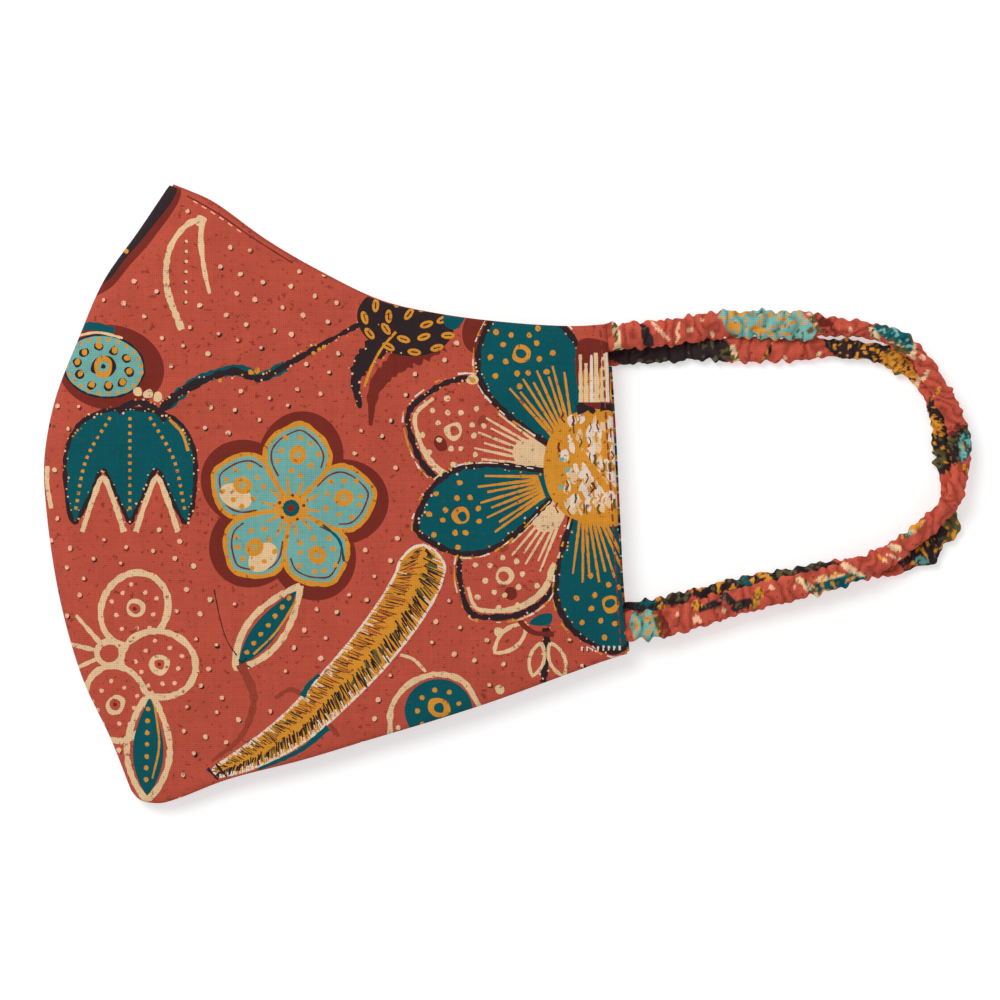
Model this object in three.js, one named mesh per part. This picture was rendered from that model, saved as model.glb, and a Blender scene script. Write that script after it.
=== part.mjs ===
// A fitted cloth face mask, folded flat along its centre seam and lying on its right-hand half.
// Millimetres, +Z up, +Y towards the nose, +X towards the ears. The origin is under the middle of the
// two panels, on the surface that they lie on.
import * as THREE from "three";
import { mergeVertices } from "three/addons/utils/BufferGeometryUtils.js";

// The cloth.
const WALL = 1.2; // two layers of cotton stitched as one
const HEM_EXTRA = 0.5; // the side hem is turned under, so its wall is thicker
const HEM_WIDTH = 3.4;
const HEM_BLEND = 0.6; // half of the step from the hem to the plain wall
const GAP = 0.3; // between pieces that are sewn together
const COLUMNS = 30; // facets from the centre seam to the side hem
const ROWS = 28; // facets from chin to nose
const EDGE_CROWDING = 0.6; // 0 for even facets, 1 for the smallest at the edges
const EDGE_SAMPLE_COUNT = 160; // points along each edge, for measuring how far off it is

// How far the upper panel stands off the lower one.
const SEAM_LEVEL = WALL + GAP + WALL / 2; // middle of the upper wall where the panels are sewn together
const ROUND_RISE = 2.0; // the rounded turn beside the seam
const ROUND_REACH = 3.0;
const LOFT_RISE = 3.8; // the slow rise towards the side hem
const LOFT_REACH = 24.0;
const EDGE_DROOP = 0.9; // the nose and chin edges dip
const EDGE_REACH = 7.0;

// The lower panel shows a little past the upper one along the side and nose edges.
const LOWER_SHIFT = new THREE.Vector2(0.8, 0.35);

// The ear loops are casings gathered over elastic: flat tubes.
const LOOP_THICKNESS = 3.6;
const UPPER_LOOP_WIDTH = 6.4;
const LOWER_LOOP_WIDTH = 5.6;
const LOOP_SIDES = 12;
const LOOP_STEPS = 64;

// The four edges of one panel, laid flat. Each is a smooth curve through these points.
const CHIN = [-48.4, -70.4];
const NOSE = [-39.4, 73.0];
const SIDE_BOTTOM = [68.7, -37.6];
const SIDE_TOP = [63.6, 39.8];
const SEAM_EDGE = [
  CHIN,
  [-53.3, -57.9],
  [-59.9, -43.8],
  [-65.3, -25.0],
  [-68.5, -4.0],
  [-69.0, 8.0],
  [-66.5, 22.0],
  [-61.0, 36.4],
  [-54.9, 50.4],
  [-46.8, 62.0],
  NOSE,
];
const SIDE_EDGE = [SIDE_BOTTOM, [67.3, -22.0], [66.4, -4.0], [65.5, 14.0], [64.5, 30.0], SIDE_TOP];
const CHIN_EDGE = [
  CHIN,
  [-46.2, -72.3],
  [-41.5, -73.0],
  [-37.0, -71.8],
  [-25.4, -67.3],
  [-7.5, -62.6],
  [8.0, -57.9],
  [23.7, -53.2],
  [38.1, -48.5],
  [52.0, -43.4],
  [62.5, -39.6],
  SIDE_BOTTOM,
];
const NOSE_EDGE = [
  NOSE,
  [-35.6, 71.5],
  [-30.1, 69.0],
  [-17.2, 59.8],
  [-4.5, 52.4],
  [10.0, 45.5],
  [24.0, 42.3],
  [42.0, 40.1],
  [56.0, 39.4],
  SIDE_TOP,
];

// Soft folds in the upper panel: from, to, height (a dent is negative) and half width.
const FOLDS = [
  { from: [60.0, 36.0], to: [8.0, 12.0], height: 0.6, width: 6.0 },
  { from: [64.0, -34.0], to: [6.0, -14.0], height: 0.55, width: 6.5 },
  { from: [58.0, 1.0], to: [-10.0, 0.0], height: -0.5, width: 9.0 },
  { from: [-44.0, -64.0], to: [-28.0, -22.0], height: 0.45, width: 5.0 },
  { from: [-38.0, 64.0], to: [-30.0, 26.0], height: 0.4, width: 5.0 },
];

// The middle line of each ear loop, from the top of the side hem round to the bottom of it.
const UPPER_LOOP_ROUTE = [
  [64.4, 36.8, 6.6],
  [68.5, 37.0, 6.6],
  [75.0, 37.5, 5.9],
  [83.0, 38.7, 4.9],
  [91.0, 39.9, 3.9],
  [100.0, 40.0, 3.7],
  [110.0, 39.6, 4.1],
  [119.0, 39.3, 4.4],
  [127.0, 38.2, 4.7],
  [133.5, 35.7, 5.1],
  [138.0, 31.4, 5.6],
  [141.2, 26.2, 5.8],
  [144.4, 20.6, 5.7],
  [146.8, 14.5, 5.5],
  [147.4, 8.2, 5.5],
  [146.6, 2.6, 5.7],
  [144.3, -2.6, 5.9],
  [140.2, -7.0, 5.4],
  [135.3, -11.0, 5.3],
  [129.5, -15.0, 5.7],
  [122.0, -18.2, 5.9],
  [113.0, -20.9, 5.8],
  [103.0, -23.4, 5.7],
  [93.0, -25.9, 5.6],
  [84.0, -28.8, 5.5],
  [76.5, -30.6, 5.9],
  [72.0, -31.1, 6.4],
  [68.7, -31.2, 6.5],
];
const LOWER_LOOP_ROUTE = [
  [65.6, 33.0, 1.8],
  [70.0, 33.1, 1.8],
  [78.0, 33.8, 1.8],
  [87.0, 34.4, 1.8],
  [96.0, 34.2, 1.8],
  [105.0, 34.2, 1.8],
  [114.0, 34.5, 1.8],
  [122.0, 34.2, 1.8],
  [129.0, 33.1, 1.8],
  [134.2, 31.0, 1.8],
  [137.8, 27.6, 1.8],
  [140.8, 23.2, 1.8],
  [143.0, 17.6, 1.8],
  [144.2, 11.0, 1.8],
  [144.7, 4.6, 1.8],
  [145.0, -1.6, 1.8],
  [144.2, -6.8, 1.8],
  [141.6, -11.2, 1.8],
  [137.2, -14.8, 1.8],
  [130.5, -16.9, 1.8],
  [122.0, -18.0, 1.8],
  [113.0, -19.2, 1.8],
  [103.0, -21.4, 1.8],
  [94.0, -22.8, 1.8],
  [85.0, -25.5, 1.8],
  [77.0, -27.6, 1.8],
  [73.0, -28.2, 1.8],
  [69.2, -28.4, 1.8],
];

const clothMaterial = new THREE.MeshStandardMaterial({ color: 0xc4503e, roughness: 0.9, metalness: 0 });
const loopMaterial = new THREE.MeshStandardMaterial({ color: 0xb84a3c, roughness: 0.9, metalness: 0 });

function flatCurve(points) {
  const through = points.map(([x, y]) => new THREE.Vector3(x, y, 0));
  return new THREE.CatmullRomCurve3(through, false, "centripetal");
}

const EDGES = {
  seam: flatCurve(SEAM_EDGE),
  side: flatCurve(SIDE_EDGE),
  chin: flatCurve(CHIN_EDGE),
  nose: flatCurve(NOSE_EDGE),
};
const EDGE_SAMPLES = Object.fromEntries(
  Object.entries(EDGES).map(([name, curve]) => [name, curve.getSpacedPoints(EDGE_SAMPLE_COUNT)]),
);

function distanceToEdge(name, x, y) {
  return Math.min(...EDGE_SAMPLES[name].map((p) => Math.hypot(p.x - x, p.y - y)));
}

function foldHeight({ from, to, height, width }, x, y) {
  const along = [to[0] - from[0], to[1] - from[1]];
  const length = Math.hypot(...along);
  const t = ((x - from[0]) * along[0] + (y - from[1]) * along[1]) / length ** 2;
  const off = ((x - from[0]) * along[1] - (y - from[1]) * along[0]) / length;
  if (t <= 0 || t >= 1) return 0;
  return height * Math.sin(Math.PI * t) ** 2 * Math.exp(-((off / width) ** 2));
}

// The height of the middle of the upper panel's wall.
function upperLevel(x, y) {
  const fromSeam = distanceToEdge("seam", x, y);
  const turn = ROUND_RISE * (1 - Math.exp(-fromSeam / ROUND_REACH));
  const loft = LOFT_RISE * (1 - Math.exp(-fromSeam / LOFT_REACH));
  const free = 1 - Math.exp(-fromSeam / LOFT_REACH);
  const droop = ["nose", "chin"]
    .map((name) => EDGE_DROOP * free * Math.exp(-distanceToEdge(name, x, y) / EDGE_REACH))
    .reduce((sum, dip) => sum + dip, 0);
  const folds = FOLDS.reduce((sum, fold) => sum + foldHeight(fold, x, y), 0);
  return SEAM_LEVEL + turn + loft - droop + folds;
}

function wallThickness(x, y) {
  const fromSide = distanceToEdge("side", x, y);
  const pastHem = THREE.MathUtils.smoothstep(fromSide, HEM_WIDTH - HEM_BLEND, HEM_WIDTH + HEM_BLEND);
  return WALL + HEM_EXTRA * (1 - pastHem);
}

// A point of the panel laid flat: u runs from the centre seam to the side hem, v from chin to nose.
function flatPoint(u, v) {
  const seam = EDGES.seam.getPointAt(v);
  const side = EDGES.side.getPointAt(v);
  const chin = EDGES.chin.getPointAt(u);
  const nose = EDGES.nose.getPointAt(u);
  const between = (a, b, t) => a.clone().lerp(b, t);
  const corners = between(
    between(EDGES.seam.getPointAt(0), EDGES.side.getPointAt(0), u),
    between(EDGES.seam.getPointAt(1), EDGES.side.getPointAt(1), u),
    v,
  );
  return between(seam, side, u).add(between(chin, nose, v)).sub(corners);
}

// Facets are smaller beside the four edges, where the wall turns.
function closerAtEdges(t) {
  return t - (EDGE_CROWDING * Math.sin(2 * Math.PI * t)) / (2 * Math.PI);
}

// A closed wall from a height for its lower and its upper face at each point of the flat panel.
function wallGeometry(lowerFace, upperFace, shift) {
  const across = COLUMNS + 1;
  const count = across * (ROWS + 1);
  const positions = new Float32Array(count * 2 * 3);
  for (let j = 0; j <= ROWS; j++) {
    for (let i = 0; i <= COLUMNS; i++) {
      const p = flatPoint(closerAtEdges(i / COLUMNS), closerAtEdges(j / ROWS));
      const k = j * across + i;
      const x = p.x + shift.x;
      const y = p.y + shift.y;
      positions.set([x, y, upperFace(p.x, p.y)], k * 3);
      positions.set([x, y, lowerFace(p.x, p.y)], (count + k) * 3);
    }
  }
  const index = [];
  const quad = (a, b, c, d) => index.push(a, b, c, a, c, d);
  for (let j = 0; j < ROWS; j++) {
    for (let i = 0; i < COLUMNS; i++) {
      const a = j * across + i;
      quad(a, a + 1, a + across + 1, a + across);
      quad(count + a, count + a + across, count + a + across + 1, count + a + 1);
    }
  }
  const lastRow = ROWS * across;
  for (let i = 0; i < COLUMNS; i++) {
    quad(i, count + i, count + i + 1, i + 1);
    quad(lastRow + i + 1, count + lastRow + i + 1, count + lastRow + i, lastRow + i);
  }
  for (let j = 0; j < ROWS; j++) {
    const a = j * across;
    const b = a + COLUMNS;
    quad(a + across, count + a + across, count + a, a);
    quad(b, count + b, count + b + across, b + across);
  }
  const geometry = new THREE.BufferGeometry();
  geometry.setAttribute("position", new THREE.BufferAttribute(positions, 3));
  geometry.setIndex(index);
  return mergeVertices(geometry, 1e-3);
}

function upperPanelGeometry() {
  return wallGeometry(
    (x, y) => upperLevel(x, y) - wallThickness(x, y) / 2,
    (x, y) => upperLevel(x, y) + wallThickness(x, y) / 2,
    new THREE.Vector2(0, 0),
  );
}

// The lower panel lies flat, so its outer face is one plane.
function lowerPanelGeometry() {
  return wallGeometry(() => 0, wallThickness, LOWER_SHIFT);
}

function loopGeometry(route, width) {
  const section = new THREE.Shape();
  for (let i = 0; i < LOOP_SIDES; i++) {
    const turn = (2 * Math.PI * (i + 0.5)) / LOOP_SIDES;
    const corner = [(LOOP_THICKNESS / 2) * Math.cos(turn), (width / 2) * Math.sin(turn)];
    if (i === 0) section.moveTo(...corner);
    else section.lineTo(...corner);
  }
  section.closePath();
  const path = new THREE.CatmullRomCurve3(
    route.map((point) => new THREE.Vector3(...point)),
    false,
    "centripetal",
  );
  return new THREE.ExtrudeGeometry(section, { steps: LOOP_STEPS, extrudePath: path });
}

function piece(name, geometry, material) {
  const mesh = new THREE.Mesh(geometry, material);
  mesh.name = name;
  return mesh;
}

const mask = new THREE.Group();
mask.add(
  piece("left_panel", upperPanelGeometry(), clothMaterial),
  piece("right_panel", lowerPanelGeometry(), clothMaterial),
  piece("left_ear_loop", loopGeometry(UPPER_LOOP_ROUTE, UPPER_LOOP_WIDTH), loopMaterial),
  piece("right_ear_loop", loopGeometry(LOWER_LOOP_ROUTE, LOWER_LOOP_WIDTH), loopMaterial),
);

export default mask;
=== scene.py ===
import math
import random

import bpy
import numpy as np
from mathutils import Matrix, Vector, noise
from mathutils.geometry import delaunay_2d_cdt


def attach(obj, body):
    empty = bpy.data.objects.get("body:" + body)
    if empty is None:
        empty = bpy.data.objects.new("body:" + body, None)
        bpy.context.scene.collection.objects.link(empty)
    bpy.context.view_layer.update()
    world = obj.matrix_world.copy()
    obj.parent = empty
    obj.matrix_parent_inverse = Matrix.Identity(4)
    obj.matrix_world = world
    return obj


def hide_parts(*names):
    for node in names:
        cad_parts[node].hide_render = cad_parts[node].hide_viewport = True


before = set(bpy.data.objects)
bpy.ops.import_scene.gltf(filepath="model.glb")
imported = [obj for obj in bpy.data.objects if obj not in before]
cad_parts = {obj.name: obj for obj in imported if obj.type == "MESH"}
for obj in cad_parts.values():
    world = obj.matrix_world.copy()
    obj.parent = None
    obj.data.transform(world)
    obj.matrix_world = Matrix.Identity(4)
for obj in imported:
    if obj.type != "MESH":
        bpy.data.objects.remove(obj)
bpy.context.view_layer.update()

# ---------------------------------------------------------------- camera
# The mask lies on a white table and is seen from straight above, through a long lens, so that the
# upper edges of the cloth hide its sides.
MM = 0.001
VIEW_CENTRE = (38.8 * MM, -1.5 * MM)
VIEW_WIDTH = 235 * MM
CLOTH_TOP = 7 * MM
camera_data = bpy.data.cameras.new("camera")
camera_data.lens = 100
camera_data.sensor_width = 36
camera = bpy.data.objects.new("camera", camera_data)
bpy.context.scene.collection.objects.link(camera)
camera.location = (*VIEW_CENTRE, CLOTH_TOP + VIEW_WIDTH * camera_data.lens / camera_data.sensor_width)
bpy.context.scene.camera = camera

# ---------------------------------------------------------------- ear loops
# Each ear loop is a strip of the same cotton sewn into a casing and gathered over elastic, so it is a
# flat tube, puckered across. Both ends are caught in the side hem. The upper loop lies on the lower
# one, which lies on the table.
LOOP_THICKNESS = 3.2
# How far each end reaches on into the hem, from one ring of points to the next, and points in a ring.
TUCK = 1.0
RING_STEP = 0.3
AROUND = 36
# The middle line of each loop in mm, from its upper end to its lower one.
UPPER_ROUTE = [
    (64.4, 36.8, 6.6), (68.5, 37.0, 6.6), (75.0, 37.5, 5.9), (83.0, 38.7, 4.9), (91.0, 39.9, 3.9),
    (100.0, 40.0, 3.7), (110.0, 39.6, 4.1), (119.0, 39.3, 4.4), (127.0, 38.2, 4.7), (133.5, 35.7, 5.1),
    (138.0, 31.4, 5.6), (141.2, 26.2, 5.8), (144.4, 20.6, 5.7), (146.8, 14.5, 5.5), (147.4, 8.2, 5.5),
    (146.6, 2.6, 5.7), (144.3, -2.6, 5.9), (140.2, -7.0, 5.4), (135.3, -11.0, 5.3), (129.5, -15.0, 5.7),
    (122.0, -18.2, 5.9), (113.0, -20.9, 5.8), (103.0, -23.4, 5.7), (93.0, -25.9, 5.6), (84.0, -28.8, 5.5),
    (76.5, -30.6, 5.9), (72.0, -31.1, 6.4), (68.7, -31.2, 6.5),
]
LOWER_ROUTE = [
    (65.6, 33.0, 1.8), (70.0, 33.1, 1.8), (78.0, 33.8, 1.8), (87.0, 34.4, 1.8), (96.0, 34.2, 1.8),
    (105.0, 34.2, 1.8), (114.0, 34.5, 1.8), (122.0, 34.2, 1.8), (129.0, 33.1, 1.8), (134.2, 31.0, 1.8),
    (137.8, 27.6, 1.8), (140.8, 23.2, 1.8), (143.0, 17.6, 1.8), (144.2, 11.0, 1.8), (144.7, 4.6, 1.8),
    (145.0, -1.6, 1.8), (144.2, -6.8, 1.8), (141.6, -11.2, 1.8), (137.2, -14.8, 1.8), (130.5, -16.9, 1.8),
    (122.0, -18.0, 1.8), (113.0, -19.2, 1.8), (103.0, -21.4, 1.8), (94.0, -22.8, 1.8), (85.0, -25.5, 1.8),
    (77.0, -27.6, 1.8), (73.0, -28.2, 1.8), (69.2, -28.4, 1.8),
]
# The elastic draws the casing in more at some places than at others: mm along it, and mm across.
UPPER_WIDTHS = [
    (0, 6.8), (10, 6.6), (42, 7.0), (47, 7.4), (51, 5.0), (61, 4.1), (67, 4.5), (72, 5.0), (75, 3.7),
    (79, 5.2), (82, 4.5), (88, 5.3), (93, 5.0), (98, 5.8), (103, 4.8), (107, 4.1), (112, 4.9), (116, 4.6),
    (121, 5.2), (127, 4.7), (134, 5.6), (150, 6.2), (170, 6.6), (182, 6.8), (190, 7.2), (196, 7.2),
]
LOWER_WIDTHS = [
    (0, 5.2), (20, 5.6), (26, 6.6), (46, 6.0), (51, 4.1), (56, 5.2), (60, 4.0), (65, 5.4), (69, 7.2),
    (72, 4.0), (80, 3.8), (86, 5.0), (90, 5.8), (95, 6.4), (99, 4.0), (107, 3.8), (111, 9.2), (114.6, 4.6),
    (118.4, 9.0), (122, 4.6), (127, 6.0), (131, 5.4), (150, 5.6), (158, 6.4), (163, 5.2), (175, 6.4),
    (191, 5.8),
]
# The dyes of the cloth, as sRGB.
DYES = {
    "coral": "B94F3D",
    "russet": "97402F",
    "madder": "762B22",
    "teal": "06535A",
    "turquoise": "6FA8A0",
    "ochre": "D58D2C",
    "cream": "E2BE92",
    "rose": "EBB393",
    "pale": "E6D2C0",
    "soot": "2F2326",
    "olive": "5B5431",
}
# The print on each casing: middle and half length in mm along it, middle and half width across it,
# from -1 on the outside of the bend to 1 on the inside, slant in mm, the dye, and its flecks.
UPPER_PRINT = [
    (1.9, 0.8, 0, 2, 0.3, "cream", "olive"), (8.6, 1.3, 0.1, 1, 0.6, "soot", "soot"),
    (12.3, 0.45, -0.2, 0.9, 2.2, "rose", "rose"), (16.4, 0.35, 0.1, 1.0, -0.9, "rose", "rose"),
    (18.9, 0.8, 0.0, 0.18, 0, "rose", "rose"), (22.6, 0.5, -0.5, 0.16, 0, "rose", "rose"),
    (24.2, 0.5, 0.6, 0.2, 0, "rose", "rose"), (37.8, 10.6, 0, 2, 1.5, "turquoise", "ochre"),
    (45.2, 3.4, 0.5, 0.6, 2, "turquoise", "olive"), (29.6, 1.4, 0.2, 0.5, 1, "ochre", "turquoise"),
    (35.0, 1.2, 0.4, 0.35, 1, "ochre", "ochre"), (49.4, 0.8, -0.2, 0.9, 1.6, "olive", "cream"),
    (51.9, 2.0, -0.1, 1.2, 1.6, "madder", "coral"), (57.4, 0.5, 0.2, 0.3, 0.5, "rose", "rose"),
    (62.6, 1.1, 0.3, 0.8, 1.8, "cream", "olive"), (68.4, 5.2, -0.3, 0.95, 1.4, "teal", "turquoise"),
    (70.0, 3.6, 0.6, 0.35, 1, "olive", "cream"), (73.6, 0.7, 0.1, 0.8, 1, "cream", "cream"),
    (76.0, 0.8, -0.2, 0.35, 0, "rose", "rose"), (79.4, 0.6, 0.5, 0.6, 1, "cream", "soot"),
    (84.0, 0.5, 0.3, 0.7, 1.6, "ochre", "russet"), (94.6, 1.0, 0.0, 1.2, 1.2, "madder", "coral"),
    (98.6, 3.8, 0.2, 1.6, 1.0, "soot", "olive"), (99.4, 3.0, -0.35, 0.6, 1.2, "turquoise", "teal"),
    (99.2, 1.2, -0.3, 0.25, 0, "soot", "ochre"), (103.8, 1.2, -0.2, 0.9, -0.6, "russet", "ochre"),
    (112.2, 0.4, 0.2, 0.7, 1, "russet", "russet"), (122.8, 3.6, 0.75, 0.4, 1, "ochre", "cream"),
    (125.4, 1.4, 0.6, 0.3, 0, "olive", "turquoise"), (129.2, 1.0, 0.25, 0.6, 1.6, "cream", "rose"),
    (131.6, 0.5, -0.4, 0.6, 1.6, "rose", "rose"), (133.6, 0.4, 0.1, 0.6, 1.2, "cream", "ochre"),
    (146.2, 6.4, -0.55, 0.62, 2, "teal", "ochre"), (141.0, 1.0, 0.1, 0.8, 2.2, "cream", "rose"),
    (152.6, 1.2, -0.2, 0.9, 2.0, "cream", "olive"), (147.0, 3.6, 0.15, 0.22, 0.6, "cream", "ochre"),
    (155.4, 0.6, 0.2, 0.2, 0, "rose", "rose"), (160.5, 0.5, 0.4, 0.2, 0, "rose", "rose"),
    (164.4, 1.2, -0.1, 0.8, -1.6, "ochre", "olive"), (167.6, 2.6, -0.3, 0.42, -2.6, "soot", "soot"),
    (170.0, 1.2, 0.2, 0.8, 2.2, "soot", "olive"), (175.4, 3.4, 0.3, 0.26, 1, "soot", "olive"),
    (178.6, 1.2, 0.7, 0.4, 0, "ochre", "soot"), (172.6, 0.6, -0.4, 0.25, 0, "rose", "rose"),
    (179.6, 1.2, -0.35, 0.32, 0, "rose", "rose"), (183.6, 0.5, 0.4, 0.2, 0, "rose", "rose"),
    (187.4, 1.1, 0, 1.3, 0.5, "madder", "russet"), (191.6, 3.2, 0, 2, 0.3, "turquoise", "ochre"),
    (188.9, 0.5, 0, 1.2, 0.5, "olive", "ochre"),
]
LOWER_PRINT = [
    (13.5, 14.5, 0, 2, 1, "soot", "soot"), (24, 4.0, 0.3, 0.8, 1, "soot", "olive"),
    (6, 3.0, 0.9, 0.3, 0, "soot", "olive"), (28.4, 0.8, 0.5, 0.8, 1, "cream", "olive"),
    (37.0, 0.5, 0.3, 0.9, -1.6, "soot", "ochre"), (39.6, 0.6, 0.75, 0.3, 1, "cream", "rose"),
    (45.4, 0.4, 0.4, 0.6, 1, "russet", "russet"), (48.6, 0.6, 0.7, 0.3, 0, "cream", "rose"),
    (61, 10.6, 0, 2, 1.4, "soot", "ochre"), (66.5, 3.4, 0.3, 0.9, 1.4, "ochre", "olive"),
    (71.4, 2.4, 0.3, 0.8, 1.6, "ochre", "soot"), (74.4, 0.8, 0.3, 0.9, 1, "cream", "rose"),
    (89.0, 9.5, 0.3, 1.4, 1, "soot", "ochre"), (87.0, 1.6, 0.6, 0.5, 0, "ochre", "soot"),
    (94.0, 2.4, 0.6, 0.5, 1, "olive", "soot"), (106.6, 1.6, 0, 1.4, 0, "cream", "coral"),
    (111.4, 3.6, 0, 2, 1.2, "olive", "ochre"), (112.8, 2.0, 0.3, 0.7, 1.2, "soot", "soot"),
    (119.0, 4.4, 0, 2, 1.4, "soot", "ochre"), (121.0, 1.6, -0.5, 0.4, 1, "turquoise", "soot"),
    (124.6, 1.2, 0, 2, 1.4, "soot", "russet"), (147.5, 8.5, 0.5, 1.1, 1, "soot", "olive"),
    (156.8, 1.6, 0.6, 0.7, 1, "ochre", "soot"), (166, 8.0, 0.6, 0.9, 1, "soot", "ochre"),
    (161.6, 1.4, 0.6, 0.5, 1, "teal", "olive"), (178, 3.8, 0.7, 0.7, 1, "soot", "olive"),
    (186, 4.4, 0.7, 0.7, 1, "soot", "teal"), (182.4, 0.8, 0.7, 0.7, 1, "ochre", "soot"),
]


def linear(hex_colour):
    """An sRGB hex colour as the linear colour that Blender mixes."""
    shares = [int(hex_colour[i:i + 2], 16) / 255 for i in (0, 2, 4)]
    return [c / 12.92 if c <= 0.04045 else ((c + 0.055) / 1.055) ** 2.4 for c in shares] + [1.0]


def smooth_line(points, step, closed=False):
    """Points about a step apart on a centripetal Catmull-Rom curve through the given ones."""
    p = np.array(points, float)
    p = np.vstack([p[-1], p, p[:2]]) if closed else np.vstack([2 * p[0] - p[1], p, 2 * p[-1] - p[-2]])
    line = []
    for a, b, c, d in zip(p[:-3], p[1:-2], p[2:-1], p[3:]):
        t1, t2, t3 = np.cumsum([max(1e-3, np.linalg.norm(v)) ** 0.5 for v in (b - a, c - b, d - c)])
        t = np.linspace(t1, t2, 1 + max(1, round(np.linalg.norm(c - b) / step)))[:-1, None]
        ab = a + (b - a) * t / t1
        bc = b + (c - b) * (t - t1) / (t2 - t1)
        cd = c + (d - c) * (t - t2) / (t3 - t2)
        abc, bcd = ab + (bc - ab) * t / t2, bc + (cd - bc) * (t - t1) / (t3 - t1)
        line.append(abc + (bcd - abc) * (t - t1) / (t2 - t1))
    return np.vstack(line if closed else [*line, p[-2][None]])


def mesh_piece(name, vertices, faces):
    """A smooth-shaded object at the origin from vertices in mm."""
    mesh = bpy.data.meshes.new(name)
    mesh.from_pydata((np.asarray(vertices) * MM).tolist(), [], faces)
    mesh.shade_smooth()
    piece = bpy.data.objects.new(name, mesh)
    bpy.context.scene.collection.objects.link(piece)
    return piece


def gathered_casing(name, route, widths, patches, seed):
    """A puckered flat tube along the route, with its dye and painted shade at each point, and its middle
    line.
    """
    line = smooth_line(route, RING_STEP)
    along = np.concatenate([[0], np.cumsum(np.linalg.norm(np.diff(line, axis=0), axis=1))])
    ahead = np.gradient(line, axis=0)
    ahead /= np.linalg.norm(ahead, axis=1)[:, None]
    side = np.cross(ahead, (0, 0, 1))
    side /= np.linalg.norm(side, axis=1)[:, None]
    up = np.cross(side, ahead)
    half_widths = np.interp(along, *zip(*widths)) / 2
    palette = {dye: np.array(linear(colour)[:3]) for dye, colour in DYES.items()}
    vertices, colours = [], []
    for i, s in enumerate(along):
        to_end = min(s, along[-1] - s)
        root = math.exp(-to_end / 2.5)
        tuck = ahead[i] * math.copysign(TUCK, s - along[-1] / 2) * math.exp(-to_end / 0.5)
        half_thick = LOOP_THICKNESS / 2 * (1 - 0.45 * root)
        for k in range(AROUND):
            a = 2 * math.pi * k / AROUND
            across, rise = math.cos(a), math.sin(a)
            # Rounded puckers with sharp valleys between them, about 4 mm apart, that slant and fade.
            wander = noise.noise(Vector((s / 3.5, across * 0.8, seed)))
            twist = math.exp(-((s - 95) / 32) ** 2)
            phase = s / 1.3 + 3.2 * wander + across * (noise.noise(Vector((s / 7, seed, 5))) + 2.8 * twist)
            pucker = abs(math.sin(phase)) ** 0.7
            depth = 0.55 + 0.75 * noise.noise(Vector((s / 2.2, across * 1.3 + seed, rise)))
            crumple = noise.noise(Vector((s / 1.0, across * 1.8 + seed, rise * 1.4)))
            lump = noise.noise(Vector((s / 1.7, 4 * math.copysign(1, across) + seed, 0)))
            wide = 0.86 + 0.20 * pucker * depth + 0.30 * lump * abs(across) + 0.07 * crumple
            thick = 0.58 + 0.46 * pucker * (0.35 + depth) + 0.16 * crumple
            place = line[i] + tuck + side[i] * half_widths[i] * across * wide
            place += up[i] * half_thick * rise * thick
            place[2] = max(place[2], 0.02)
            vertices.append(place)
            # The edge of each patch of dye wavers.
            blur = 0.6 * noise.noise(Vector((s / 1.2, across * 2.2, rise * 1.3 + seed)))
            fleck = noise.noise(Vector((s / 1.15, across * half_widths[i] / 1.0, rise + 2 * seed)))
            dye = "coral"
            for middle, half, across_middle, across_half, slant, patch, flecks in patches:
                x = (s - middle - slant * across + blur) / half
                y = (across - across_middle + 0.3 * blur) / across_half
                if x * x + y * y < 1 and (rise > -0.6 or across_half > 1):
                    dye = flecks if fleck > 0.2 else "olive" if fleck < -0.48 else patch
            # Painted shade darkens the dye in the valleys between the puckers, and a painted highlight
            # lightens it on their ridges.
            colours.append([*(palette[dye] * (0.66 + 0.62 * pucker)), 1.0])
    count = len(along)
    faces = []
    for start in range(0, (count - 1) * AROUND, AROUND):
        ring_edges = [(start + k, start + (k + 1) % AROUND) for k in range(AROUND)]
        faces += [(a, b, b + AROUND, a + AROUND) for a, b in ring_edges]
    first, last = count * AROUND, (count - 1) * AROUND
    faces += [(first, (k + 1) % AROUND, k) for k in range(AROUND)]
    faces += [(first + 1, last + k, last + (k + 1) % AROUND) for k in range(AROUND)]
    tips = [line[0] - ahead[0] * TUCK, line[-1] + ahead[-1] * TUCK]
    loop = mesh_piece(name, vertices + tips, faces)
    # The colour attribute named dye holds each point's dye together with its painted shade and highlight.
    tint = loop.data.color_attributes.new("dye", "FLOAT_COLOR", "POINT")
    tint.data.foreach_set("color", np.array(colours + [colours[0], colours[-1]], np.float32).ravel())
    return loop, line * MM


def add_node(tree, kind, settings=None, **links):
    """A shader node with its settings, and its inputs by name or as i0, i1. A socket as input is linked."""
    node = tree.nodes.new(kind)
    for key, value in (settings or {}).items():
        setattr(node, key, value)
    for key, value in links.items():
        name = key.replace("_", " ")
        socket = node.inputs[int(key[1:])] if key[0] == "i" and key[1:].isdigit() else node.inputs[name]
        if isinstance(value, bpy.types.NodeSocket):
            tree.links.new(value, socket)
        else:
            socket.default_value = value
    return node


# From one thread to the next.
THREAD_PITCH = 0.5 * MM


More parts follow.
